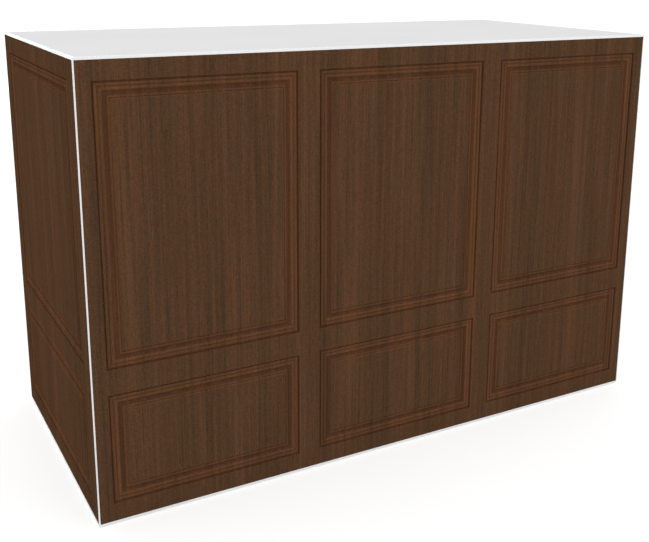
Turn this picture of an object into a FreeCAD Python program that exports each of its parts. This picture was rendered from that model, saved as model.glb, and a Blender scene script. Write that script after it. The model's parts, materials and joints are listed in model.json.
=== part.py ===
import FreeCAD, Part
import math
import os

import Sketcher
from FreeCAD import Placement, Rotation, Vector

# Service bar: a white box frame of one edge profile, walnut wainscot panels on the front and both
# ends, a flat top, and an open staff side with a deck and a pull-out shelf.
# Millimetres. The origin is on the floor under the middle of the bar, +X to the customers' right,
# +Y towards the staff, +Z up.

# Driving dimensions
SIZES = {
    # The whole bar
    "overall_width": 1600.0,
    "overall_depth": 750.0,
    "overall_height": 1067.0,
    "foot_reveal": 2.0,
    # Edge profile of the frame: a square tube with a nose that shows on two faces of the bar
    "nose_width": 6.0,
    "post_nose_width": 3.0,
    "nose_land": 2.0,
    "nose_round": 1.0,
    "tube_side": 40.0,
    "tube_wall": 2.5,
    # Corner connectors inside the tubes
    "connector_fit": 0.3,
    "connector_leg": 60.0,
    "connector_lead": 3.0,
    # Boards that fill the faces of the frame
    "panel_thickness": 16.0,
    "panel_gap": 0.5,
    "panel_ease": 0.6,
    # Moulded fields of the walnut panels
    "moulding_width": 41.0,
    "moulding_depth": 5.5,
    "cutter_overrun": 1.0,
    "front_margin": 31.7,
    "front_column_gap": 56.0,
    "end_margin": 54.0,
    "row_margin": 43.5,
    "row_gap": 60.0,
    "lower_field_height": 266.0,
    # Magnets in the posts and strike plates in the panels
    "magnet_width": 12.0,
    "magnet_length": 32.0,
    "magnet_depth": 6.0,
    "magnet_stand": 1.0,
    "magnet_fit": 0.2,
    "magnet_inset": 150.0,
    "strike_margin": 3.0,
    "strike_depth": 2.0,
    "seat_gap": 0.3,
    # Pins that locate the top
    "pin_width": 8.0,
    "pin_stand": 8.0,
    "pin_grip": 12.0,
    "pin_fit": 0.2,
    "pin_inset": 220.0,
    # Braces across the middle of the frame
    "brace_width": 40.0,
    "brace_height": 20.0,
    "brace_wall": 2.0,
    "plate_thickness": 3.0,
    "plate_margin": 20.0,
    # Boards inside
    "board_thickness": 18.0,
    "board_clearance": 2.0,
    "post_clearance": 1.0,
    "shelf_top": 560.0,
    "bearer_leg": 30.0,
    "bearer_thickness": 3.0,
    "stiffener_width": 20.0,
    "stiffener_height": 30.0,
    "stiffener_wall": 2.0,
    "stiffener_inset": 60.0,
    # Screws
    "screw_width": 5.0,
    "screw_length": 14.0,
    "screw_head_width": 9.0,
    "screw_head_height": 2.5,
    "screw_fit": 0.2,
    "deck_screw_length": 30.0,
    "deck_screw_inset": 300.0,
    # Levelling feet
    "foot_inset": 140.0,
    "pad_width": 40.0,
    "pad_height": 8.0,
    "pad_ease": 1.5,
    "stud_width": 10.0,
    "stud_reach": 34.0,
    "spigot_depth": 4.0,
    "collar_across": 17.0,
    "insert_width": 13.0,
    "insert_depth": 15.0,
    "insert_flange_width": 18.0,
    "insert_flange": 1.0,
    "thread_fit": 0.2,
}

# Section of the routed moulding, from its outer edge to its inner edge: each point as a share of the
# moulding's width and depth, and the rise of the arc to the next point as a share of the depth.
# A positive rise is a bead and a negative one a cove.
MOULDING_SHARES = [
    (0.0, 0.0, 0.0),
    (0.03, 0.78, 0.0),
    (0.085, 0.78, 0.0),
    (0.10, 0.40, 0.26),
    (0.285, 0.40, 0.0),
    (0.30, 0.52, 0.38),
    (0.525, 0.60, -0.34),
    (0.765, 0.52, 0.0),
    (0.775, 0.38, 0.20),
    (0.89, 0.38, 0.0),
    (0.91, 0.55, 0.0),
    (1.0, 0.0, 0.0),
]
FRONT_COLUMNS = 3
END_COLUMNS = 1
HALF = 0.5
SNAP = 1e-6
# Screws, pins, pads and inserts have this many flats in place of a round, to keep their meshes light
ROUND_FLATS = 12
HEX_FLATS = 6

doc = FreeCAD.newDocument("service_bar")
sheet = doc.addObject("Spreadsheet::Sheet", "sizes")


class Size:
    """A length: its value now, and the expression that keeps it tied to the sheet."""

    def __init__(self, text, value):
        self.text = text
        self.value = value

    def join(self, other, sign, value):
        return Size(f"({text_of(self)} {sign} {text_of(other)})", value)

    def __add__(self, other):
        return self.join(other, "+", self.value + value_of(other))

    def __sub__(self, other):
        return self.join(other, "-", self.value - value_of(other))

    def __mul__(self, share):
        return self.join(share, "*", self.value * value_of(share))

    def __truediv__(self, share):
        return self.join(share, "/", self.value / value_of(share))

    def __neg__(self):
        return self * -1


def text_of(size):
    return size.text if isinstance(size, Size) else repr(size)


def value_of(size):
    return size.value if isinstance(size, Size) else size


def fill_sheet():
    """Writes the driving dimensions into the sheet and returns them by name."""
    for row, (name, value) in enumerate(SIZES.items(), start=1):
        sheet.set(f"A{row}", name)
        sheet.set(f"B{row}", str(value))
        sheet.setAlias(f"B{row}", name)
    doc.recompute()
    return {name: Size(f"sizes.{name}", value) for name, value in SIZES.items()}


S = fill_sheet()
ZERO = Size("0", 0.0)

# Places that several pieces share, measured inwards from the frame's outer faces
TUBE_NEAR = S["panel_thickness"]
TUBE_FAR = TUBE_NEAR + S["tube_side"]
TUBE_MID = TUBE_NEAR + S["tube_side"] * HALF
RAIL_INSET = S["nose_width"] + S["panel_gap"]
POST_INSET = S["post_nose_width"] + S["panel_gap"]
HALF_WIDTH = S["overall_width"] * HALF
HALF_DEPTH = S["overall_depth"] * HALF
BASE = S["foot_reveal"]
FRAME_HEIGHT = S["overall_height"] - BASE
DECK_BOTTOM = BASE + TUBE_FAR
SHELF_BOTTOM = S["shelf_top"] - S["board_thickness"]

nodes = []


# Sketches and features

def bind(thing, name, size):
    """Sets one property of an object from a size and keeps it tied to the sheet."""
    thing.setExpression(name, text_of(size))


def place(thing, x, y, z, rotation=Rotation()):
    """Puts a sub-part at a place given in sizes."""
    thing.Placement = Placement(Vector(value_of(x), value_of(y), value_of(z)), rotation)
    for axis, size in (("x", x), ("y", y), ("z", z)):
        if isinstance(size, Size):
            bind(thing, f"Placement.Base.{axis}", size)


def new_body(label):
    body = doc.addObject("PartDesign::Body", label)
    body.Label = label
    return body


def new_sketch(body, name, plane, offset=ZERO):
    """A sketch on one of the body's own origin planes, or a stated distance along its normal."""
    sketch = body.newObject("Sketcher::SketchObject", f"{body.Name}_{name}")
    support = next(o for o in body.Origin.OriginFeatures if o.Role == plane)
    sketch.AttachmentSupport = [(support, "")]
    sketch.MapMode = "FlatFace"
    bind(sketch, "AttachmentOffset.Base.z", offset)
    return sketch


def fix_point(sketch, edge, end, x, y):
    """Ties one end of an edge, or the centre of a circle, to sizes."""
    for kind, size in (("DistanceX", x), ("DistanceY", y)):
        row = sketch.addConstraint(
            Sketcher.Constraint(kind, -1, 1, edge, end, float(value_of(size)))
        )
        bind(sketch, f"Constraints[{row}]", size)


def arc_through(start, end, rise):
    """The arc from start to end that stands off its chord by rise, on the chord's left when rise > 0."""
    chord = end - start
    left = Vector(-chord.y, chord.x, 0).normalize()
    return Part.Arc(start, (start + end) * HALF + left * rise, end)


def outline(sketch, points, rises=None):
    """A closed outline through points given in sizes; a rise bends the edge that leaves its point."""
    rises = rises or {}
    flat = [Vector(value_of(x), value_of(y), 0) for x, y in points]
    first = sketch.GeometryCount
    count = len(points)
    for i, start in enumerate(flat):
        end = flat[(i + 1) % count]
        edge = Part.LineSegment(start, end)
        if i in rises:
            edge = arc_through(start, end, value_of(rises[i]))
        sketch.addGeometry(edge, False)
    start_of = {}
    for i in range(count):
        # an arc drawn clockwise is stored the other way round, so its ends change places
        turned = (sketch.getPoint(first + i, 1) - flat[i]).Length > (
            sketch.getPoint(first + i, 2) - flat[i]
        ).Length
        start_of[i] = (2, 1) if turned else (1, 2)
    for i in range(count):
        after = (i + 1) % count
        sketch.addConstraint(
            Sketcher.Constraint(
                "Coincident", first + i, start_of[i][1], first + after, start_of[after][0]
            )
        )
    for i, (x, y) in enumerate(points):
        fix_point(sketch, first + i, start_of[i][0], x, y)
    for i, rise in rises.items():
        (x0, y0), (x1, y1) = points[i], points[(i + 1) % count]
        chord_squared = (x1 - x0) * (x1 - x0) + (y1 - y0) * (y1 - y0)
        tall = rise if value_of(rise) > 0 else -rise
        radius = chord_squared / (tall * 8) + tall * HALF
        row = sketch.addConstraint(
            Sketcher.Constraint("Radius", first + i, float(value_of(radius)))
        )
        bind(sketch, f"Constraints[{row}]", radius)


def rectangle(sketch, x0, y0, x1, y1):
    outline(sketch, [(x0, y0), (x1, y0), (x1, y1), (x0, y1)])


def slot(sketch, x, y, width, length):
    """A rectangle about a point, with its length along the sketch's Y axis."""
    half_width = width * HALF
    half_length = length * HALF
    rectangle(sketch, x - half_width, y - half_length, x + half_width, y + half_length)


def polygon(sketch, x, y, radius, flats):
    """A regular polygon about a point, given by the distance from there to its corners."""
    turns = [2 * math.pi * (number + HALF) / flats for number in range(flats)]
    outline(sketch, [(x + radius * math.cos(turn), y + radius * math.sin(turn)) for turn in turns])


def shaft(sketch, x, y, width):
    """The outline of a round piece: its corners lie on the round."""
    polygon(sketch, x, y, width * HALF, ROUND_FLATS)


def bore(sketch, x, y, width):
    """The outline of a round hole: the middles of its flats lie on the round."""
    polygon(sketch, x, y, width * (HALF / math.cos(math.pi / ROUND_FLATS)), ROUND_FLATS)


def circle(sketch, x, y, width):
    """A true round, for what turns."""
    centre = Vector(value_of(x), value_of(y), 0)
    edge = sketch.addGeometry(Part.Circle(centre, Vector(0, 0, 1), value_of(width) * HALF), False)
    row = sketch.addConstraint(Sketcher.Constraint("Diameter", edge, float(value_of(width))))
    bind(sketch, f"Constraints[{row}]", width)
    fix_point(sketch, edge, 3, x, y)


def pad(body, sketch, length, name="pad"):
    feature = body.newObject("PartDesign::Pad", f"{body.Name}_{name}")
    feature.Profile = sketch
    bind(feature, "Length", length)
    return feature


def cut(body, sketch, length=None, name="cut"):
    """A pocket that runs the same way to both sides of its sketch, right through when no length is given."""
    feature = body.newObject("PartDesign::Pocket", f"{body.Name}_{name}")
    feature.Profile = sketch
    feature.Midplane = True
    if length is None:
        feature.Type = "ThroughAll"
    else:
        bind(feature, "Length", length)
    return feature


def stem(body, name, low, high, width, draw=shaft):
    """A round length along the body's Z axis."""
    sketch = new_sketch(body, f"{name}_outline", "XY_Plane", low)
    draw(sketch, ZERO, ZERO, width)
    return pad(body, sketch, high - low, name)


def chamfer(body, base, edges, size):
    feature = body.newObject("PartDesign::Chamfer", f"{body.Name}_chamfer")
    feature.Base = (base, edges)
    bind(feature, "Size", size)
    return feature


def edges_at(feature, height):
    """Names of the straight edges that lie in the plane z = height."""
    return [
        f"Edge{number}"
        for number, edge in enumerate(feature.Shape.Edges, start=1)
        if all(abs(vertex.Z - height) < SNAP for vertex in edge.Vertexes)
    ]


def group(label, shapes):
    """Identical solids that share one node."""
    feature = doc.addObject("Part::Feature", label)
    feature.Label = label
    feature.Shape = Part.makeCompound(shapes)
    nodes.append(feature)
    return feature


def mirrored(shapes, normal, middle=ZERO):
    """The shapes and their reflections in the plane through the middle with this normal."""
    base = normal * value_of(middle)
    return shapes + [shape.mirror(base, normal) for shape in shapes]


def moved(shape, x, y, z, rotation=Rotation()):
    copy = shape.copy()
    copy.Placement = Placement(Vector(value_of(x), value_of(y), value_of(z)), rotation)
    return copy


# Frame members

# Sections turn about the bar's axes: at turn 0 the nose points to the low corner of the other two axes.
AXIS_ROTATIONS = {
    "Z": Rotation(),
    "X": Rotation(Vector(1, 1, 1), 120),
    "Y": Rotation(Vector(1, 1, 1), 240),
}
RIGHT = Vector(1, 0, 0)
FRONT = Vector(0, -1, 0)
BACK = Vector(0, 1, 0)
DOWN = Vector(0, 0, -1)
UP = Vector(0, 0, 1)
AXIS_VECTORS = {"X": RIGHT, "Y": BACK, "Z": UP}


def profile_outline(sketch, nose):
    """Nose, web and square tube, symmetrical about the diagonal, with the nose at the origin."""
    rounding = S["nose_round"]
    shoulder = TUBE_NEAR + nose - S["nose_land"]
    points = [
        (rounding, ZERO),
        (nose, ZERO),
        (nose, S["nose_land"]),
        (shoulder, TUBE_NEAR),
        (TUBE_FAR, TUBE_NEAR),
        (TUBE_FAR, TUBE_FAR),
        (TUBE_NEAR, TUBE_FAR),
        (TUBE_NEAR, shoulder),
        (S["nose_land"], nose),
        (ZERO, nose),
        (ZERO, rounding),
    ]
    quarter_rise = rounding * (math.sqrt(2) - 1) / math.sqrt(2)
    outline(sketch, points, {len(points) - 1: -quarter_rise})
    low = TUBE_NEAR + S["tube_wall"]
    high = TUBE_FAR - S["tube_wall"]
    rectangle(sketch, low, low, high, high)


def mitre(body, plane, length):
    """Cuts both ends of a member back at 45 degrees across one plane."""
    reach = TUBE_FAR + S["cutter_overrun"]
    sketch = new_sketch(body, f"mitre_{plane[:2].lower()}", plane)
    outline(sketch, [(ZERO, ZERO), (reach, ZERO), (reach, reach)])
    outline(sketch, [(ZERO, length), (reach, length - reach), (reach, length)])
    cut(body, sketch, name=f"mitre_{plane[:2].lower()}")


def drill(body, rotation, holes):
    """Holes through one tube wall each: (the way the wall faces, distance along, width, length).

    A hole with no length is round, and the others are slots along the tube.
    """
    walls = {}
    for facing, along, width, length in holes:
        local = rotation.inverted().multVec(facing)
        walls.setdefault((round(local.x), round(local.y)), []).append((along, width, length))
    for (side_x, side_y), bores in walls.items():
        half_wall = S["tube_wall"] * HALF
        outward = side_x + side_y
        depth = TUBE_FAR - half_wall if outward > 0 else TUBE_NEAR + half_wall
        plane = "YZ_Plane" if side_x else "XZ_Plane"
        # the XZ plane's normal points along -Y
        offset = depth if side_x else -depth
        sketch = new_sketch(body, f"holes_{side_x + 1}{side_y + 1}", plane, offset)
        for along, width, length in bores:
            if length is None:
                bore(sketch, TUBE_MID, along, width)
            else:
                slot(sketch, TUBE_MID, along, width, length)
        through = S["tube_wall"] + S["cutter_overrun"]
        cut(body, sketch, through, f"holes_{side_x + 1}{side_y + 1}")


def fill_corners(body, rotation, length):
    """Carries a rail's wider nose on to the inner edge of the post's narrower one, at both ends."""
    half_land = S["nose_land"] * HALF
    upright = rotation.inverted().multVec(UP)
    plane, offset = ("XZ_Plane", -half_land) if round(upright.x) else ("YZ_Plane", half_land)
    low = S["post_nose_width"]
    high = S["nose_width"]
    sketch = new_sketch(body, "corner_fill", plane, offset)
    outline(sketch, [(low, low), (high, low), (high, high)])
    outline(sketch, [(low, length - low), (high, length - high), (high, length - low)])
    feature = pad(body, sketch, S["nose_land"], "corner_fill")
    feature.Midplane = True


def member(label, length, axis, turn, x, y, z, nose, holes=()):
    """One mitred length of the edge profile, placed by its nose's lowest corner along its axis."""
    body = new_body(label)
    sketch = new_sketch(body, "section", "XY_Plane")
    profile_outline(sketch, nose)
    pad(body, sketch, length)
    mitre(body, "XZ_Plane", length)
    mitre(body, "YZ_Plane", length)
    rotation = Rotation(AXIS_VECTORS[axis], 90 * turn) * AXIS_ROTATIONS[axis]
    if axis != "Z":
        fill_corners(body, rotation, length)
    drill(body, rotation, holes)
    place(body, x, y, z, rotation)
    nodes.append(body)
    return body


MAGNET_SLOT = (S["magnet_width"] + S["magnet_fit"] * 2, S["magnet_length"] + S["magnet_fit"] * 2)
SCREW_HOLE = S["screw_width"] + S["screw_fit"] * 2
PIN_HOLE = S["pin_width"] + S["pin_fit"] * 2
INSERT_HOLE = S["insert_width"] + S["thread_fit"] * 2

STRIKE_WIDTH = S["magnet_width"] + S["strike_margin"] * 2
STRIKE_LENGTH = S["magnet_length"] + S["strike_margin"] * 2

# Heights of the magnets above the underside of the frame
FRONT_MAGNET_HEIGHTS = [S["magnet_inset"], FRAME_HEIGHT * HALF, FRAME_HEIGHT - S["magnet_inset"]]
END_MAGNET_HEIGHTS = [S["magnet_inset"], FRAME_HEIGHT - S["magnet_inset"]]
# Screws stand this far from the middle of a brace, and this high on the shelf's bearers
PLATE_SCREW = (S["brace_width"] + S["plate_margin"]) * HALF
BEARER_SCREW_HEIGHT = SHELF_BOTTOM - S["bearer_leg"] * HALF


def build_posts():
    front_holes = [(FRONT, height, *MAGNET_SLOT) for height in FRONT_MAGNET_HEIGHTS]
    for label, turn, side, end, magnets in (
        ("post_front_left", 0, -1, -1, front_holes),
        ("post_front_right", 1, 1, -1, front_holes),
        ("post_back_right", 2, 1, 1, []),
        ("post_back_left", 3, -1, 1, []),
    ):
        outward = RIGHT * side
        holes = magnets + [(outward, height, *MAGNET_SLOT) for height in END_MAGNET_HEIGHTS]
        holes.append((outward * -1, BEARER_SCREW_HEIGHT - BASE, SCREW_HOLE, None))
        x = HALF_WIDTH * side
        y = HALF_DEPTH * end
        member(label, FRAME_HEIGHT, "Z", turn, x, y, BASE, S["post_nose_width"], holes)


def build_long_rails():
    width = S["overall_width"]
    plates = [(HALF_WIDTH - PLATE_SCREW, SCREW_HOLE), (HALF_WIDTH + PLATE_SCREW, SCREW_HOLE)]
    deck = [
        (S["deck_screw_inset"], SCREW_HOLE),
        (width - S["deck_screw_inset"], SCREW_HOLE),
    ]
    pins = [(S["pin_inset"], PIN_HOLE), (width - S["pin_inset"], PIN_HOLE)]
    top = S["overall_height"]
    for label, turn, end, height, upward in (
        ("rail_bottom_front", 0, -1, BASE, deck),
        ("rail_top_front", 3, -1, top, pins),
        ("rail_top_back", 2, 1, top, pins),
        ("rail_bottom_back", 1, 1, BASE, deck),
    ):
        inward = BACK * -end
        holes = [(inward, along, hole, None) for along, hole in plates]
        holes += [(UP, along, hole, None) for along, hole in upward]
        y = HALF_DEPTH * end
        member(label, width, "X", turn, -HALF_WIDTH, y, height, S["nose_width"], holes)


def build_end_rails():
    depth = S["overall_depth"]
    feet = [
        (DOWN, S["foot_inset"], INSERT_HOLE, None),
        (DOWN, depth - S["foot_inset"], INSERT_HOLE, None),
    ]
    top = S["overall_height"]
    for label, turn, side, height, holes in (
        ("rail_bottom_left", 0, -1, BASE, feet),
        ("rail_top_left", 1, -1, top, []),
        ("rail_top_right", 2, 1, top, []),
        ("rail_bottom_right", 3, 1, BASE, feet),
    ):
        x = HALF_WIDTH * side
        member(label, depth, "Y", turn, x, -HALF_DEPTH, height, S["nose_width"], holes)


def corner_connector():
    """Solid three-way corner piece that the tubes of one corner are driven onto."""
    low = TUBE_NEAR + S["tube_wall"] + S["connector_fit"]
    high = TUBE_FAR - S["tube_wall"] - S["connector_fit"]
    end = TUBE_FAR + S["connector_leg"]
    side = value_of(high - low)
    start = Vector(value_of(low), value_of(low), value_of(low))
    legs = []
    for axis in AXIS_VECTORS.values():
        reach = value_of(end - low)
        lengths = [reach if component else side for component in axis]
        leg = Part.makeBox(*lengths, start)
        far = value_of(end)
        tip = [e for e in leg.Edges if all(abs(v.Point.dot(axis) - far) < SNAP for v in e.Vertexes)]
        legs.append(leg.makeChamfer(value_of(S["connector_lead"]), tip))
    return legs[0].multiFuse(legs[1:]).removeSplitter()


def build_connectors():
    corner = corner_connector()
    corner.translate(Vector(value_of(-HALF_WIDTH), value_of(-HALF_DEPTH), value_of(BASE)))
    four = mirrored(mirrored([corner], RIGHT), BACK)
    group("connectors_bottom", four)
    middle = BASE + FRAME_HEIGHT * HALF
    upper = [shape.mirror(UP * value_of(middle), UP) for shape in four]
    group("connectors_top", upper)


# Panels

def face_board(label, width, height, x, y, z, rotation):
    """A board with eased face edges and back edges bevelled to clear the frame's nose."""
    body = new_body(label)
    sketch = new_sketch(body, "outline", "XY_Plane")
    rectangle(sketch, ZERO, ZERO, width, height)
    board = pad(body, sketch, S["panel_thickness"])
    doc.recompute()
    bevel = chamfer(body, board, edges_at(board, 0), S["panel_thickness"] - S["nose_land"])
    doc.recompute()
    face = edges_at(bevel, value_of(S["panel_thickness"]))
    chamfer(body, bevel, face, S["panel_ease"])
    place(body, x, y, z, rotation)
    nodes.append(body)
    return body


def moulded_field(body, name, x0, y0, x1, y1):
    """Routs one mitred moulding into the face, round the rectangle given by its outer edges."""
    middle = (x0 + x1) * HALF
    path = new_sketch(body, f"{name}_path", "XY_Plane", S["panel_thickness"])
    corners = [(middle, y0), (x1, y0), (x1, y1), (x0, y1), (x0, y0)]
    outline(path, corners)
    section = new_sketch(body, f"{name}_section", "YZ_Plane", middle)
    width = S["moulding_width"]
    depth = S["moulding_depth"]
    face = S["panel_thickness"]
    points = [(y0 + width * across, face - depth * down) for across, down, _ in MOULDING_SHARES]
    rises = {i: depth * rise for i, (_, _, rise) in enumerate(MOULDING_SHARES) if rise}
    above = face + S["cutter_overrun"]
    points += [(y0 + width, above), (y0, above)]
    outline(section, points, rises)
    pipe = body.newObject("PartDesign::SubtractivePipe", f"{body.Name}_{name}")
    pipe.Profile = section
    pipe.Spine = (path, [f"Edge{number + 1}" for number in range(len(corners))])
    pipe.Transition = "Right corner"
    return pipe


def walnut_panel(label, span, columns, margin, x, y, z, rotation, strikes):
    """A face board with moulded fields in columns and two rows, and pockets behind for the strikes."""
    width = span - POST_INSET * 2
    height = FRAME_HEIGHT - RAIL_INSET * 2
    body = face_board(label, width, height, x, y, z, rotation)
    gap = S["front_column_gap"]
    field_width = (width - margin * 2 - gap * (columns - 1)) / columns
    lower_top = S["row_margin"] + S["lower_field_height"]
    rows = [
        (S["row_margin"], lower_top),
        (lower_top + S["row_gap"], height - S["row_margin"]),
    ]
    for column in range(columns):
        left = margin + (field_width + gap) * column
        for row, (low, high) in enumerate(rows):
            moulded_field(body, f"field_{column}{row}", left, low, left + field_width, high)
    sketch = new_sketch(body, "strike_pockets", "XY_Plane")
    pocket = [size + S["seat_gap"] * 2 for size in (STRIKE_WIDTH, STRIKE_LENGTH)]
    for across, up in strikes:
        slot(sketch, across - POST_INSET, up - RAIL_INSET, *pocket)
    pocket_depth = S["magnet_stand"] + S["seat_gap"] + S["strike_depth"]
    cut(body, sketch, pocket_depth * 2, "strike_pockets")
    return body


def block(width, length, depth, x, y, z, rotation):
    """A block that rises from a point along its own Z axis, turned by the rotation."""
    corner = Vector(value_of(width) * -HALF, value_of(length) * -HALF, 0)
    shape = Part.makeBox(value_of(width), value_of(length), value_of(depth), corner)
    return moved(shape, x, y, z, rotation)


# Each walnut panel lies with its local X to the right as seen from outside and its local Z outwards.
FACE_FRONT = Rotation(Vector(1, 0, 0), 90)
FACE_LEFT = Rotation(Vector(0, 0, 1), -90) * FACE_FRONT
FACE_RIGHT = Rotation(Vector(0, 0, 1), 90) * FACE_FRONT


def build_walnut_panels():
    floor = BASE + RAIL_INSET
    sides = (TUBE_MID, S["overall_width"] - TUBE_MID)
    front = [(across, height) for across in sides for height in FRONT_MAGNET_HEIGHTS]
    ends = (TUBE_MID, S["overall_depth"] - TUBE_MID)
    end = [(across, height) for across in ends for height in END_MAGNET_HEIGHTS]
    panels = (
        ("front", S["overall_width"], FRONT_COLUMNS, S["front_margin"], FACE_FRONT, front,
         -HALF_WIDTH, TUBE_NEAR - HALF_DEPTH),
        ("left", S["overall_depth"], END_COLUMNS, S["end_margin"], FACE_LEFT, end,
         TUBE_NEAR - HALF_WIDTH, HALF_DEPTH),
        ("right", S["overall_depth"], END_COLUMNS, S["end_margin"], FACE_RIGHT, end,
         HALF_WIDTH - TUBE_NEAR, -HALF_DEPTH),
    )
    for side, span, columns, margin, rotation, places, corner_x, corner_y in panels:
        across = rotation.multVec(RIGHT)
        outward = rotation.multVec(UP)
        x = corner_x + POST_INSET * round(across.x)
        y = corner_y + POST_INSET * round(across.y)
        walnut_panel(f"{side}_panel", span, columns, margin, x, y, floor, rotation, places)
        magnets = []
        strikes = []
        for along, up in places:
            seat = [
                corner_x + along * round(across.x),
                corner_y + along * round(across.y),
                BASE + up,
            ]
            sunk = S["magnet_depth"] - S["magnet_stand"]
            back = [part - sunk * round(step) for part, step in zip(seat, outward)]
            magnets.append(
                block(S["magnet_width"], S["magnet_length"], S["magnet_depth"], *back, rotation)
            )
            proud = S["magnet_stand"] + S["seat_gap"]
            deep = [part + proud * round(step) for part, step in zip(seat, outward)]
            strikes.append(block(STRIKE_WIDTH, STRIKE_LENGTH, S["strike_depth"], *deep, rotation))
        group(f"{side}_magnets", magnets)
        group(f"{side}_strikes", strikes)


def build_top():
    width = S["overall_width"] - RAIL_INSET * 2
    depth = S["overall_depth"] - RAIL_INSET * 2
    seat = S["overall_height"] - TUBE_NEAR
    corner_x = RAIL_INSET - HALF_WIDTH
    corner_y = RAIL_INSET - HALF_DEPTH
    body = face_board("top_panel", width, depth, corner_x, corner_y, seat, Rotation())
    sketch = new_sketch(body, "pin_bores", "XY_Plane")
    pin_at = S["pin_inset"] - RAIL_INSET
    rail_at = TUBE_MID - RAIL_INSET
    for x in (pin_at, width - pin_at):
        for y in (rail_at, depth - rail_at):
            bore(sketch, x, y, PIN_HOLE)
    cut(body, sketch, (S["pin_stand"] + S["seat_gap"]) * 2, "pin_bores")
    pin = new_body("pin_master")
    stem(pin, "pin", -S["pin_grip"], S["pin_stand"], S["pin_width"])
    doc.recompute()
    first = moved(pin.Shape, S["pin_inset"] - HALF_WIDTH, TUBE_MID - HALF_DEPTH, seat)
    group("top_pins", mirrored(mirrored([first], RIGHT), BACK))


# Braces, boards and what carries them

def hollow_bar(label, length, width, height, wall):
    """A rectangular tube along its own Y axis: its top face at z = 0, and its middle at the origin."""
    body = new_body(label)
    sketch = new_sketch(body, "section", "XZ_Plane")
    half = width * HALF
    rectangle(sketch, -half, -height, half, ZERO)
    rectangle(sketch, wall - half, wall - height, half - wall, -wall)
    feature = pad(body, sketch, length)
    feature.Midplane = True
    return body


def screw(label, length):
    """A plain pan head screw: its head stands above z = 0 and its shank hangs below."""
    body = new_body(label)
    stem(body, "shank", -length, ZERO, S["screw_width"])
    stem(body, "head", ZERO, S["screw_head_height"], S["screw_head_width"])
    doc.recompute()
    return body.Shape


# Turns a screw's head from +Z to +X or +Y
HEAD_RIGHT = Rotation(Vector(0, 1, 0), 90)
HEAD_BACK = Rotation(Vector(1, 0, 0), -90)


def build_braces(short_screw):
    thickness = S["plate_thickness"]
    length = S["overall_depth"] - (TUBE_FAR + thickness) * 2
    top_seat = S["overall_height"] - TUBE_NEAR
    for label, height in (("brace_top", top_seat), ("brace_bottom", DECK_BOTTOM)):
        body = hollow_bar(label, length, S["brace_width"], S["brace_height"], S["brace_wall"])
        place(body, ZERO, ZERO, height)
        nodes.append(body)
    plate = new_body("plate_master")
    sketch = new_sketch(plate, "outline", "XZ_Plane")
    half = S["brace_width"] * HALF + S["plate_margin"]
    rectangle(sketch, -half, -S["tube_side"], half, ZERO)
    for x in (-PLATE_SCREW, PLATE_SCREW):
        bore(sketch, x, S["tube_side"] * -HALF, SCREW_HOLE)
    pad(plate, sketch, thickness)
    doc.recompute()
    plates = []
    screws = []
    for height in (top_seat, DECK_BOTTOM):
        rail_face = TUBE_FAR + thickness - HALF_DEPTH
        plates.append(moved(plate.Shape, ZERO, rail_face, height))
        middle = height - S["tube_side"] * HALF
        screws.append(moved(short_screw, -PLATE_SCREW, rail_face, middle, HEAD_BACK))
    group("brace_plates", mirrored(plates, BACK))
    group("plate_screws", mirrored(mirrored(screws, RIGHT), BACK))


def build_deck():
    """The lowest shelf, notched round the posts and screwed down to the long rails."""
    inset = TUBE_NEAR + S["board_clearance"]
    width = S["overall_width"] - inset * 2
    depth = S["overall_depth"] - inset * 2
    notch = TUBE_FAR + S["post_clearance"] - inset
    body = new_body("deck")
    sketch = new_sketch(body, "outline", "XY_Plane")
    outline(sketch, [
        (notch, ZERO),
        (width - notch, ZERO),
        (width - notch, notch),
        (width, notch),
        (width, depth - notch),
        (width - notch, depth - notch),
        (width - notch, depth),
        (notch, depth),
        (notch, depth - notch),
        (ZERO, depth - notch),
        (ZERO, notch),
        (notch, notch),
    ])
    screw_x = S["deck_screw_inset"] - inset
    screw_y = TUBE_MID - inset
    for x in (screw_x, width - screw_x):
        for y in (screw_y, depth - screw_y):
            bore(sketch, x, y, SCREW_HOLE)
    pad(body, sketch, S["board_thickness"])
    place(body, inset - HALF_WIDTH, inset - HALF_DEPTH, DECK_BOTTOM)
    nodes.append(body)
    long_screw = screw("deck_screw_master", S["deck_screw_length"])
    first = moved(
        long_screw,
        S["deck_screw_inset"] - HALF_WIDTH,
        TUBE_MID - HALF_DEPTH,
        DECK_BOTTOM + S["board_thickness"],
    )
    group("deck_screws", mirrored(mirrored([first], RIGHT), BACK))


def build_bearers(short_screw):
    """Angles on the inner faces of the posts, with their upper legs under the ends of the shelf."""
    inset = TUBE_NEAR + S["board_clearance"]
    length = S["overall_depth"] - inset * 2
    leg = S["bearer_leg"]
    wall = S["bearer_thickness"]
    for label, side in (("bearer_left", 1), ("bearer_right", -1)):
        body = new_body(label)
        sketch = new_sketch(body, "section", "XZ_Plane")
        outline(sketch, [
            (ZERO, ZERO),
            (leg * side, ZERO),
            (leg * side, -wall),
            (wall * side, -wall),
            (wall * side, -leg),
            (ZERO, -leg),
        ])
        feature = pad(body, sketch, length)
        feature.Midplane = True
        holes = new_sketch(body, "holes", "YZ_Plane", wall * (HALF * side))
        for y in (TUBE_MID - HALF_DEPTH, HALF_DEPTH - TUBE_MID):
            bore(holes, y, leg * -HALF, SCREW_HOLE)
        cut(body, holes, wall + S["cutter_overrun"], "holes")
        place(body, (TUBE_FAR - HALF_WIDTH) * side, ZERO, SHELF_BOTTOM)
        nodes.append(body)
    first = moved(
        short_screw,
        TUBE_FAR + wall - HALF_WIDTH,
        TUBE_MID - HALF_DEPTH,
        BEARER_SCREW_HEIGHT,
        HEAD_RIGHT,
    )
    group("bearer_screws", mirrored(mirrored([first], RIGHT), BACK))


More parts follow.
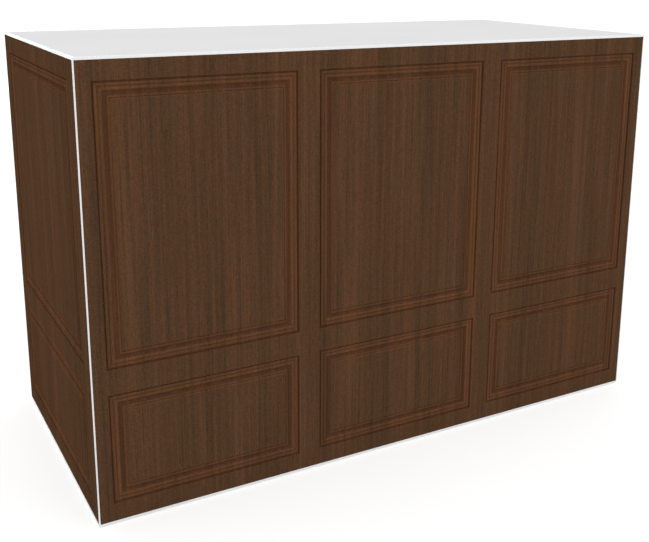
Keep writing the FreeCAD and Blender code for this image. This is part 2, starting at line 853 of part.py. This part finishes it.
def build_shelf():
    """The pull-out shelf and the two tubes bonded under it, which pass between the bearers."""
    inset = TUBE_NEAR + S["board_clearance"]
    side = TUBE_FAR + S["board_clearance"]
    width = S["overall_width"] - side * 2
    depth = S["overall_depth"] - inset * 2
    body = new_body("shelf")
    sketch = new_sketch(body, "outline", "XY_Plane")
    rectangle(sketch, ZERO, ZERO, width, depth)
    pad(body, sketch, S["board_thickness"])
    place(body, side - HALF_WIDTH, inset - HALF_DEPTH, SHELF_BOTTOM)
    nodes.append(body)
    length = S["overall_width"] - (TUBE_FAR + S["bearer_leg"] + S["board_clearance"]) * 2
    master = hollow_bar(
        "stiffener_master", length, S["stiffener_width"], S["stiffener_height"], S["stiffener_wall"]
    )
    doc.recompute()
    across = Rotation(Vector(0, 0, 1), 90)
    y = inset + S["stiffener_inset"] - HALF_DEPTH
    first = moved(master.Shape, ZERO, y, SHELF_BOTTOM, across)
    group("shelf_stiffeners", mirrored([first], BACK))


# Levelling feet

def build_feet():
    """Pads, studs and inserts under the end rails; a stud's collar stops under its insert's flange."""
    pad_top = S["pad_height"]
    rail_bottom = BASE + TUBE_NEAR
    collar_top = rail_bottom - S["insert_flange"] - S["seat_gap"]
    spigot_bottom = pad_top - S["spigot_depth"]
    hole_width = S["stud_width"] + S["thread_fit"] * 2
    for end, side_y in (("front", -1), ("back", 1)):
        for hand, side_x in (("left", -1), ("right", 1)):
            x = (HALF_WIDTH - TUBE_MID) * side_x
            y = (HALF_DEPTH - S["foot_inset"]) * side_y
            foot_pad = new_body(f"foot_pad_{end}_{hand}")
            base = stem(foot_pad, "base", ZERO, pad_top, S["pad_width"])
            doc.recompute()
            rims = edges_at(base, 0) + edges_at(base, value_of(pad_top))
            chamfer(foot_pad, base, rims, S["pad_ease"])
            sketch = new_sketch(foot_pad, "socket_outline", "XY_Plane", pad_top)
            bore(sketch, ZERO, ZERO, hole_width)
            cut(foot_pad, sketch, (S["spigot_depth"] + S["seat_gap"]) * 2, "socket")
            place(foot_pad, x, y, ZERO)
            nodes.append(foot_pad)
            stud = new_body(f"foot_stud_{end}_{hand}")
            tip = collar_top + S["stud_reach"]
            stem(stud, "shank", spigot_bottom, tip, S["stud_width"], circle)
            sketch = new_sketch(stud, "collar_outline", "XY_Plane", pad_top)
            corner = S["collar_across"] * (HALF / math.cos(math.pi / HEX_FLATS))
            polygon(sketch, ZERO, ZERO, corner, HEX_FLATS)
            pad(stud, sketch, collar_top - pad_top, "collar")
            place(stud, x, y, ZERO)
            nodes.append(stud)
    insert = new_body("insert_master")
    stem(insert, "flange", -S["insert_flange"], ZERO, S["insert_flange_width"])
    stem(insert, "barrel", ZERO, S["insert_depth"], S["insert_width"])
    sketch = new_sketch(insert, "thread_outline", "XY_Plane")
    bore(sketch, ZERO, ZERO, hole_width)
    cut(insert, sketch, name="thread")
    doc.recompute()
    first = moved(
        insert.Shape, TUBE_MID - HALF_WIDTH, S["foot_inset"] - HALF_DEPTH, rail_bottom
    )
    group("foot_inserts", mirrored(mirrored([first], RIGHT), BACK))


def check():
    """Stops if any object failed to build or any sub-part isn't a sound solid."""
    failed = [o.Label for o in doc.Objects if "Invalid" in o.State or "Error" in o.State]
    for node in nodes:
        if node.Shape.isNull() or not node.Shape.isValid() or not node.Shape.Solids:
            failed.append(node.Label)
    if failed:
        raise RuntimeError("these did not build: " + ", ".join(failed))


def export():
    os.makedirs("parts", exist_ok=True)
    for node in nodes:
        node.Shape.exportStep(f"parts/{node.Label}.step")


build_posts()
build_long_rails()
build_end_rails()
build_connectors()
build_walnut_panels()
build_top()
short_screw_shape = screw("short_screw_master", S["screw_length"])
build_braces(short_screw_shape)
build_deck()
build_bearers(short_screw_shape)
build_shelf()
build_feet()
doc.recompute()
check()
export()
print(f"{len(nodes)} nodes, {sum(len(node.Shape.Solids) for node in nodes)} solids")
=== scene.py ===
import json
import math

import bpy
from mathutils import Matrix, Vector


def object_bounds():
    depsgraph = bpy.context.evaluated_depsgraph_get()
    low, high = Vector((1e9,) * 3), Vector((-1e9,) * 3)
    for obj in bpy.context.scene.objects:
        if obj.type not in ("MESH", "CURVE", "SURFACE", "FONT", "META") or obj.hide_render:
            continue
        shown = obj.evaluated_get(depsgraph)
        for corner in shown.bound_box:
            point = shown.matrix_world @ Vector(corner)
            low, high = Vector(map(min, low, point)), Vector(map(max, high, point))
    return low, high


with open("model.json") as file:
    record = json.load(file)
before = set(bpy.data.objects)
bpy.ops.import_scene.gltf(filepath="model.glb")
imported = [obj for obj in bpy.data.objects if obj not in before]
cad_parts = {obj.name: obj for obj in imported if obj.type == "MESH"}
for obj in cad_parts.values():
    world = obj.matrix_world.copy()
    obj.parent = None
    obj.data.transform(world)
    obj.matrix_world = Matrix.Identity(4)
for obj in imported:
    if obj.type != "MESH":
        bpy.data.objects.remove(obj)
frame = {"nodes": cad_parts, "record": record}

# Service bar: finishes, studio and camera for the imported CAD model. Metres, +Z up, customers at -Y.

cad_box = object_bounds()
HALF_WIDTH = cad_box[1][0]
HALF_DEPTH = cad_box[1][1]


# Walnut

# Layers of the grain: the input that sets the width of a mark, that width in metres, the mark's
# width as a share of its length, and the detail and roughness of the noise
GRAIN_LAYERS = {
    "Bands": ("Band Width", 0.08, 0.015, 2.0, 0.5),
    "Streaks": ("Streak Width", 0.013, 0.02, 2.0, 0.5),
    "Lines": ("Line Width", 0.0034, 0.0115, 3.0, 0.6),
    "Flecks": ("Fleck Width", 0.004, 0.9, 2.0, 0.5),
    "Pores": ("Pore Width", 0.0011, 0.04, 2.0, 0.5),
}
# Where in the noise the grain starts
GRAIN_START = (0.83, 0.61, 0.0)
# Noise values at which a pore begins and is fully open
PORE_BEGINS = 0.58
PORE_OPEN = 0.70
# Share of each layer in the board's figure
FIGURE_SHARES = {"Bands": 0.22, "Streaks": 0.23, "Lines": 0.29, "Flecks": 0.26}
# Colour of the board by figure
BOARD_COLOURS = (
    (0.386, (70, 52, 38)),
    (0.452, (80, 58, 41)),
    (0.50, (88, 62, 43)),
    (0.548, (95, 66, 45)),
    (0.614, (103, 72, 49)),
)
# Colour of the pores, and how much of it an open pore takes on
PORE_COLOUR = (46, 29, 19)
PORE_STRENGTH = 0.35
# Roughness at the lowest and at the highest value of the lines
WALNUT_ROUGHNESS = (0.5, 0.66)
# Depth of an open pore in metres, and the height of the lines as a share of it
PORE_DEPTH = 0.00008
LINE_HEIGHT = 0.4

# Metres, as in the CAD: half the bar's width and depth, and the moulded fields in three columns on
# the front, one column on each end and two rows
FIELD_SIZES = {
    "Half Width": HALF_WIDTH,
    "Half Depth": HALF_DEPTH,
    "Moulding Width": 0.041,
    "Column Step": 0.528533,
    "Column Half": 0.236267,
    "End Half": 0.3175,
    "Low Middle": 0.185,
    "Low Half": 0.133,
    "High Middle": 0.6975,
    "High Half": 0.3195,
    "Routed Depth": 0.008,
}
# The scale of the painted highlights and painted shade runs from 0 to 1: where the moulding's outer
# edge lies on it, and how much of it the moulding takes
PAINTED_LIGHT_OUTER_EDGE = 0.25
PAINTED_LIGHT_SPAN = 0.5
# What the painted light multiplies red, green and blue by, along that scale: painted highlights on
# the beads and the inner edge, painted shade in the channel and the cove
PAINTED_LIGHT_STOPS = (
    # flat board
    (0.245, (1.0, 1.0, 1.0)),
    # outer channel
    (0.255, (1.05, 0.90, 0.86)),
    (0.292, (1.05, 0.90, 0.86)),
    # first bead
    (0.305, (1.15, 1.04, 0.98)),
    (0.345, (1.21, 1.09, 1.03)),
    (0.390, (1.14, 1.01, 0.95)),
    # second bead
    (0.405, (1.10, 0.98, 0.92)),
    (0.450, (1.27, 1.16, 1.09)),
    (0.495, (1.27, 1.15, 1.08)),
    # cove
    (0.520, (0.95, 0.83, 0.78)),
    (0.540, (0.90, 0.79, 0.74)),
    (0.600, (0.90, 0.79, 0.74)),
    (0.630, (0.98, 0.86, 0.80)),
    # inner bead
    (0.642, (1.20, 1.08, 1.01)),
    (0.690, (1.20, 1.07, 1.00)),
    # inner edge
    (0.700, (1.15, 1.02, 0.95)),
    (0.715, (1.28, 1.20, 1.17)),
    (0.750, (1.04, 1.02, 1.01)),
    # field
    (0.760, (1.0, 1.0, 1.0)),
)


# Fine texture

# Sizes in metres where a finish gives none of its own, and the detail of the noise
GRAIN_SIZE = 0.002
GRAIN_DETAIL = 3.0
CLOUD_SIZE = 0.15
CLOUD_DETAIL = 2.0
# Noise values of the darkest and the lightest clouds
CLOUD_RANGE = (0.3, 0.7)


# Studio

# Metres from the middle of the floor to its edges
FLOOR_REACH = 60.0
# Darkest and lightest tone of the floor
FLOOR_TONES = (0.59, 0.61)
# Glow that the camera and reflections see, so that the floor is white beyond the shadow
FLOOR_GLOW = 0.60
# Brightness of the surroundings as light, and as the camera and reflections see them
WORLD_LIGHT = 0.92
WORLD_SEEN = 1.0
# Soft boxes: place, width, height and power in watts, all pointed at the middle of the bar
LAMP_AIM = (0.0, 0.0, 0.5)
SOFT_BOXES = {
    "left": ((-7.2, -5.2, 1.1), 6.0, 2.0, 66.0),
    "right": ((5.2, -7.6, 1.1), 6.0, 2.0, 120.0),
    "staff side": ((-1.4, 8.0, 1.5), 6.0, 2.6, 120.0),
}


# Camera: the photograph's viewpoint, worked out from the corners of the box

CAMERA_PLACE = (-1.249, -2.310, 1.260)
# Degrees: to the right of straight ahead, down, and over to one side
CAMERA_TURN = 29.82
CAMERA_DIP = 13.4
CAMERA_LEAN = 0.59
# Millimetres
FILM_WIDTH = 36.0
FOCAL_LENGTH = 52.26
# Shares of the picture's width
SHIFT_ACROSS = -0.047
SHIFT_UP = -0.131
# How far the camera sees, in metres
CLIP_END = 200.0


# Small tools

def paint(red, green, blue):
    """A colour from its 0-255 values as seen on a screen, by the sRGB curve."""
    parts = []
    for part in (red, green, blue):
        share = part / 255
        parts.append(share / 12.92 if share <= 0.04045 else ((share + 0.055) / 1.055) ** 2.4)
    return (*parts, 1.0)


def grey(level):
    """A neutral colour."""
    return (level, level, level, 1.0)


def add(tree, kind, inputs=None, **settings):
    """One node with its settings, and with a value or a link for each named input."""
    node = tree.nodes.new(kind)
    for name, value in settings.items():
        setattr(node, name, value)
    for name, value in (inputs or {}).items():
        if isinstance(value, bpy.types.NodeSocket):
            tree.links.new(value, node.inputs[name])
        else:
            node.inputs[name].default_value = value
    return node


def ramp(tree, value, stops):
    """Colours or shades spread over a value."""
    node = add(tree, "ShaderNodeValToRGB", {"Fac": value})
    elements = node.color_ramp.elements
    while len(elements) < len(stops):
        elements.new(1.0)
    for element, (place, colour) in zip(elements, stops):
        element.position = place
        element.color = colour
    return node.outputs["Color"]


def cloud_ramp(tree, clouds, dark, light):
    """Two colours spread over the clouds of the fine texture."""
    return ramp(tree, clouds, list(zip(CLOUD_RANGE, (dark, light))))


def calc(tree, operation, first, second=0.0, third=0.0, clamp=False):
    """One sum on numbers or links."""
    sockets = {0: first, 1: second, 2: third}
    return add(tree, "ShaderNodeMath", sockets, operation=operation, use_clamp=clamp).outputs[0]


def blend(tree, factor, first, second, how="MIX"):
    """Two colours mixed."""
    # by number, because a mix node has sockets of the same names for each kind of data
    sockets = {0: factor, 6: first, 7: second}
    return add(tree, "ShaderNodeMix", sockets, data_type="RGBA", blend_type=how).outputs[2]


def spread(tree, value, low, high):
    """A value from 0 to 1 spread over a range."""
    sockets = {"Value": value, "To Min": low, "To Max": high}
    return add(tree, "ShaderNodeMapRange", sockets).outputs["Result"]


def noise(tree, place, size, **settings):
    """Noise whose marks have a size in metres."""
    sockets = {"Vector": place, "Scale": calc(tree, "DIVIDE", 1.0, size), **settings}
    return add(tree, "ShaderNodeTexNoise", sockets).outputs["Fac"]


def object_place(tree):
    """Place on the CAD model, in metres."""
    return add(tree, "ShaderNodeTexCoord").outputs["Object"]


def seen_directly(tree):
    """1 on rays from the camera, off a shiny surface or through a clear one, and 0 on the rest."""
    rays = add(tree, "ShaderNodeLightPath").outputs
    by_surface = calc(tree, "MAXIMUM", rays["Is Glossy Ray"], rays["Is Transmission Ray"])
    return calc(tree, "MAXIMUM", rays["Is Camera Ray"], by_surface)


# Effects that several finishes share

def new_group(name, inputs, outputs):
    """An empty node group with named number inputs and outputs."""
    group = bpy.data.node_groups.new(name, "ShaderNodeTree")
    for label, value in inputs.items():
        socket = group.interface.new_socket(label, in_out="INPUT", socket_type="NodeSocketFloat")
        socket.default_value = value
    for label in outputs:
        group.interface.new_socket(label, in_out="OUTPUT", socket_type="NodeSocketFloat")
    start = group.nodes.new("NodeGroupInput")
    end = group.nodes.new("NodeGroupOutput")
    return group, start.outputs, end


def place_group(tree, group, **values):
    """The group in a material, with that material's own values for its inputs."""
    node = add(tree, "ShaderNodeGroup", node_tree=group)
    for label, value in values.items():
        node.inputs[label.replace("_", " ")].default_value = value
    return node.outputs


def make_upright_grain():
    """Grain that runs straight up: broad bands, streaks, lines, round flecks and open pores."""
    widths = {label: width for label, width, *_ in GRAIN_LAYERS.values()}
    group, given, out = new_group("upright grain", widths, GRAIN_LAYERS)
    place = object_place(group)
    for layer, (label, _, share_of_length, detail, roughness) in GRAIN_LAYERS.items():
        drawn_out = add(
            group, "ShaderNodeVectorMath",
            {0: place, 1: (1.0, 1.0, share_of_length), 2: GRAIN_START},
            operation="MULTIPLY_ADD",
        ).outputs[0]
        marks = noise(group, drawn_out, given[label], Detail=detail, Roughness=roughness)
        if layer == "Pores":
            marks = add(
                group, "ShaderNodeMapRange",
                {"Value": marks, "From Min": PORE_BEGINS, "From Max": PORE_OPEN},
            ).outputs["Result"]
        group.links.new(marks, out.inputs[layer])
    return group


def make_moulding_place():
    """Place across a routed moulding: 0 at its outer edge, 1 at its inner edge, below 0 outside."""
    group, given, out = new_group("moulding place", FIELD_SIZES, ["Across"])
    parts = add(group, "ShaderNodeSeparateXYZ", {"Vector": object_place(group)}).outputs
    side = calc(group, "ABSOLUTE", parts["X"])
    from_end = calc(group, "SUBTRACT", given["Half Width"], side)
    from_front = calc(group, "ADD", given["Half Depth"], parts["Y"])

    def beyond(place, middle, half):
        """How far a place lies outside a span given by its middle and half its width."""
        off_middle = calc(group, "ABSOLUTE", calc(group, "SUBTRACT", place, middle))
        return calc(group, "SUBTRACT", off_middle, half)

    outer_column = beyond(side, given["Column Step"], given["Column Half"])
    middle_column = beyond(side, 0.0, given["Column Half"])
    front_column = calc(group, "MINIMUM", outer_column, middle_column)
    end_column = beyond(parts["Y"], 0.0, given["End Half"])
    on_end = calc(group, "LESS_THAN", from_end, from_front)
    change = calc(group, "SUBTRACT", end_column, front_column)
    beside = calc(group, "MULTIPLY_ADD", on_end, change, front_column)
    low_row = beyond(parts["Z"], given["Low Middle"], given["Low Half"])
    high_row = beyond(parts["Z"], given["High Middle"], given["High Half"])
    above = calc(group, "MINIMUM", low_row, high_row)
    # the back of a panel is not routed: it counts as far outside every moulding
    depth = calc(group, "MINIMUM", from_end, from_front)
    behind = calc(group, "GREATER_THAN", depth, given["Routed Depth"])
    outside = calc(group, "ADD", calc(group, "MAXIMUM", beside, above), behind)
    inside = calc(group, "MULTIPLY", outside, -1.0)
    across = calc(group, "DIVIDE", inside, given["Moulding Width"])
    group.links.new(across, out.inputs["Across"])
    return group


def make_fine_texture():
    """Even fine texture for sprayed, pressed and moulded surfaces."""
    sizes = {"Grain Size": GRAIN_SIZE, "Cloud Size": CLOUD_SIZE}
    group, given, out = new_group("fine texture", sizes, ["Grain", "Clouds"])
    place = object_place(group)
    grain = noise(group, place, given["Grain Size"], Detail=GRAIN_DETAIL)
    clouds = noise(group, place, given["Cloud Size"], Detail=CLOUD_DETAIL)
    group.links.new(grain, out.inputs["Grain"])
    group.links.new(clouds, out.inputs["Clouds"])
    return group


UPRIGHT_GRAIN = make_upright_grain()
MOULDING_PLACE = make_moulding_place()
FINE_TEXTURE = make_fine_texture()


# Finishes

def new_finish(name, **plain):
    """A material with one surface shader; plain holds what is the same all over."""
    material = bpy.data.materials.new(name)
    material.use_nodes = True
    tree = material.node_tree
    tree.nodes.clear()
    shader = add(tree, "ShaderNodeBsdfPrincipled")
    for label, value in plain.items():
        shader.inputs[label.replace("_", " ")].default_value = value
    add(tree, "ShaderNodeOutputMaterial", {"Surface": shader.outputs["BSDF"]})
    return material, tree, shader


def dress_shader(tree, shader, colour, roughness, height, depth):
    """Links what changes over the surface; depth is that of the relief, in metres."""
    tree.links.new(colour, shader.inputs["Base Color"])
    tree.links.new(roughness, shader.inputs["Roughness"])
    bump = add(tree, "ShaderNodeBump", {"Height": height, "Distance": depth, "Strength": 1.0})
    tree.links.new(bump.outputs["Normal"], shader.inputs["Normal"])


def walnut_with_painted_light():
    """Dark walnut, with painted highlights on the moulding's beads and inner edge and painted shade
    in its channel and cove.
    """
    material, tree, shader = new_finish("walnut with painted light", Specular_IOR_Level=0.0)
    grain = place_group(tree, UPRIGHT_GRAIN)
    figure = 0.0
    for layer, share in FIGURE_SHARES.items():
        figure = calc(tree, "MULTIPLY_ADD", grain[layer], share, figure)
    board = ramp(tree, figure, [(place, paint(*colour)) for place, colour in BOARD_COLOURS])
    # painted highlights and painted shade across each moulding, multiplied into the board's colour
    across = place_group(tree, MOULDING_PLACE)["Across"]
    on_scale = calc(tree, "MULTIPLY_ADD", across, PAINTED_LIGHT_SPAN, PAINTED_LIGHT_OUTER_EDGE, clamp=True)
    painted_light = ramp(tree, on_scale, [(place, (*factors, 1.0)) for place, factors in PAINTED_LIGHT_STOPS])
    board_and_painted_light = blend(tree, 1.0, board, painted_light, "MULTIPLY")
    in_pores = calc(tree, "MULTIPLY", grain["Pores"], PORE_STRENGTH)
    colour = blend(tree, in_pores, board_and_painted_light, paint(*PORE_COLOUR))
    roughness = spread(tree, grain["Lines"], *WALNUT_ROUGHNESS)
    lines = calc(tree, "MULTIPLY", grain["Lines"], LINE_HEIGHT)
    height = calc(tree, "SUBTRACT", lines, grain["Pores"])
    dress_shader(tree, shader, colour, roughness, height, PORE_DEPTH)
    return material


def textured(name, dark, light, roughness, grain_size, cloud_size, depth, **plain):
    """A finish of one colour, faintly clouded, with a fine texture; sizes and depth in metres."""
    material, tree, shader = new_finish(name, **plain)
    texture = place_group(tree, FINE_TEXTURE, Grain_Size=grain_size, Cloud_Size=cloud_size)
    colour = cloud_ramp(tree, texture["Clouds"], paint(*dark), paint(*light))
    roughness_here = spread(tree, texture["Grain"], *roughness)
    dress_shader(tree, shader, colour, roughness_here, texture["Grain"], depth)
    return material


def black_nylon(name):
    """Moulded nylon with a spark-eroded surface."""
    return textured(
        name, dark=(26, 26, 27), light=(34, 34, 35),
        roughness=(0.5, 0.68), grain_size=0.0008, cloud_size=0.03, depth=0.00006,
        Specular_IOR_Level=0.4,
    )


def dress_nodes():
    """Gives every CAD node the finish of its material slot."""
    finishes = {
        "walnut": walnut_with_painted_light(),
        # satin white sprayed on aluminium, with a faint orange peel
        "frame_white": textured(
            "white powder coat", dark=(244, 244, 244), light=(247, 247, 247),
            roughness=(0.34, 0.46), grain_size=0.0016, cloud_size=0.2, depth=0.00003,
            Specular_IOR_Level=0.2,
        ),
        # very pale grey laminate with a fine pressed texture
        "worktop": textured(
            "pale laminate", dark=(233, 233, 233), light=(236, 236, 236),
            roughness=(0.55, 0.7), grain_size=0.0012, cloud_size=0.35, depth=0.00002,
            Specular_IOR_Level=0.0,
        ),
        # white melamine on the deck and the shelf
        "board_white": textured(
            "white faced board", dark=(232, 231, 228), light=(237, 236, 233),
            roughness=(0.44, 0.6), grain_size=0.0009, cloud_size=0.25, depth=0.00003,
            Specular_IOR_Level=0.4,
        ),
        # bright zinc on screws, pins, inserts, studs and strike plates
        "zinc_steel": textured(
            "zinc plating", dark=(176, 179, 184), light=(206, 208, 211),
            roughness=(0.24, 0.42), grain_size=0.0007, cloud_size=0.006, depth=0.00002,
            Metallic=1.0,
        ),
        # bright nickel on the catch magnets
        "magnet": textured(
            "nickel plating", dark=(196, 194, 188), light=(214, 212, 206),
            roughness=(0.12, 0.24), grain_size=0.0006, cloud_size=0.01, depth=0.00001,
            Metallic=1.0,
        ),
        "connector_black": black_nylon("black connector nylon"),
        "foot_nylon": black_nylon("black foot nylon"),
    }
    for row in frame["record"]["subparts"]:
        mesh = frame["nodes"][row["node"]].data
        mesh.materials.clear()
        mesh.materials.append(finishes[row["material_slot"]])


def make_floor():
    """A pale floor that shows white to the camera and keeps the bar's shadow."""
    material = bpy.data.materials.new("studio floor")
    material.use_nodes = True
    tree = material.node_tree
    tree.nodes.clear()
    texture = place_group(tree, FINE_TEXTURE, Grain_Size=0.004, Cloud_Size=0.8)
    dark, light = (grey(tone) for tone in FLOOR_TONES)
    colour = cloud_ramp(tree, texture["Clouds"], dark, light)
    matt = add(tree, "ShaderNodeBsdfDiffuse", {"Color": colour}).outputs[0]
    glow_inputs = {"Color": grey(1.0), "Strength": FLOOR_GLOW}
    glow = add(tree, "ShaderNodeEmission", glow_inputs).outputs[0]
    both = add(tree, "ShaderNodeAddShader", {0: matt, 1: glow}).outputs[0]
    mix_inputs = {0: seen_directly(tree), 1: matt, 2: both}
    mix = add(tree, "ShaderNodeMixShader", mix_inputs).outputs[0]
    add(tree, "ShaderNodeOutputMaterial", {"Surface": mix})
    mesh = bpy.data.meshes.new("studio_floor")
    low, high = -FLOOR_REACH, FLOOR_REACH
    corners = [(low, low, 0.0), (high, low, 0.0), (high, high, 0.0), (low, high, 0.0)]
    mesh.from_pydata(corners, [], [(0, 1, 2, 3)])
    mesh.materials.append(material)
    floor = bpy.data.objects.new("studio_floor", mesh)
    bpy.context.scene.collection.objects.link(floor)


def make_world():
    """Soft light from all round; the camera and reflections see plain white."""
    world = bpy.data.worlds.new("studio")
    bpy.context.scene.world = world
    world.use_nodes = True
    tree = world.node_tree
    tree.nodes.clear()
    strength = spread(tree, seen_directly(tree), WORLD_LIGHT, WORLD_SEEN)
    back = add(tree, "ShaderNodeBackground", {"Color": grey(1.0), "Strength": strength})
    add(tree, "ShaderNodeOutputWorld", {"Surface": back.outputs[0]})


def soft_box(name, place, width, height, power):
    """An area lamp that points at the bar."""
    lamp = bpy.data.lights.new(name, "AREA")
    lamp.shape = "RECTANGLE"
    lamp.size = width
    lamp.size_y = height
    lamp.energy = power
    box = bpy.data.objects.new(name, lamp)
    box.location = place
    box.rotation_euler = (Vector(LAMP_AIM) - Vector(place)).to_track_quat("-Z", "Y").to_euler()
    bpy.context.scene.collection.objects.link(box)


def make_camera():
    """The camera, placed and turned by the numbers above."""
    turn = math.radians(CAMERA_TURN)
    dip = math.radians(CAMERA_DIP)
    lean = math.radians(CAMERA_LEAN)
    ahead = math.cos(dip)
    forward = Vector((math.sin(turn) * ahead, math.cos(turn) * ahead, -math.sin(dip)))
    level = Vector((math.cos(turn), -math.sin(turn), 0.0))
    above = level.cross(forward)
    right = math.cos(lean) * level + math.sin(lean) * above
    up = math.cos(lean) * above - math.sin(lean) * level
    camera = bpy.data.cameras.new("camera")
    camera.sensor_width = FILM_WIDTH
    camera.lens = FOCAL_LENGTH
    camera.shift_x = SHIFT_ACROSS
    camera.shift_y = SHIFT_UP
    camera.clip_end = CLIP_END
    viewer = bpy.data.objects.new("camera", camera)
    axes = Matrix((right, up, -forward)).transposed().to_4x4()
    viewer.matrix_world = Matrix.Translation(CAMERA_PLACE) @ axes
    bpy.context.scene.collection.objects.link(viewer)
    bpy.context.scene.camera = viewer


dress_nodes()
make_floor()
make_world()
for lamp_name, settings in SOFT_BOXES.items():
    soft_box(lamp_name, *settings)
make_camera()
bpy.context.scene.view_settings.view_transform = "Standard"
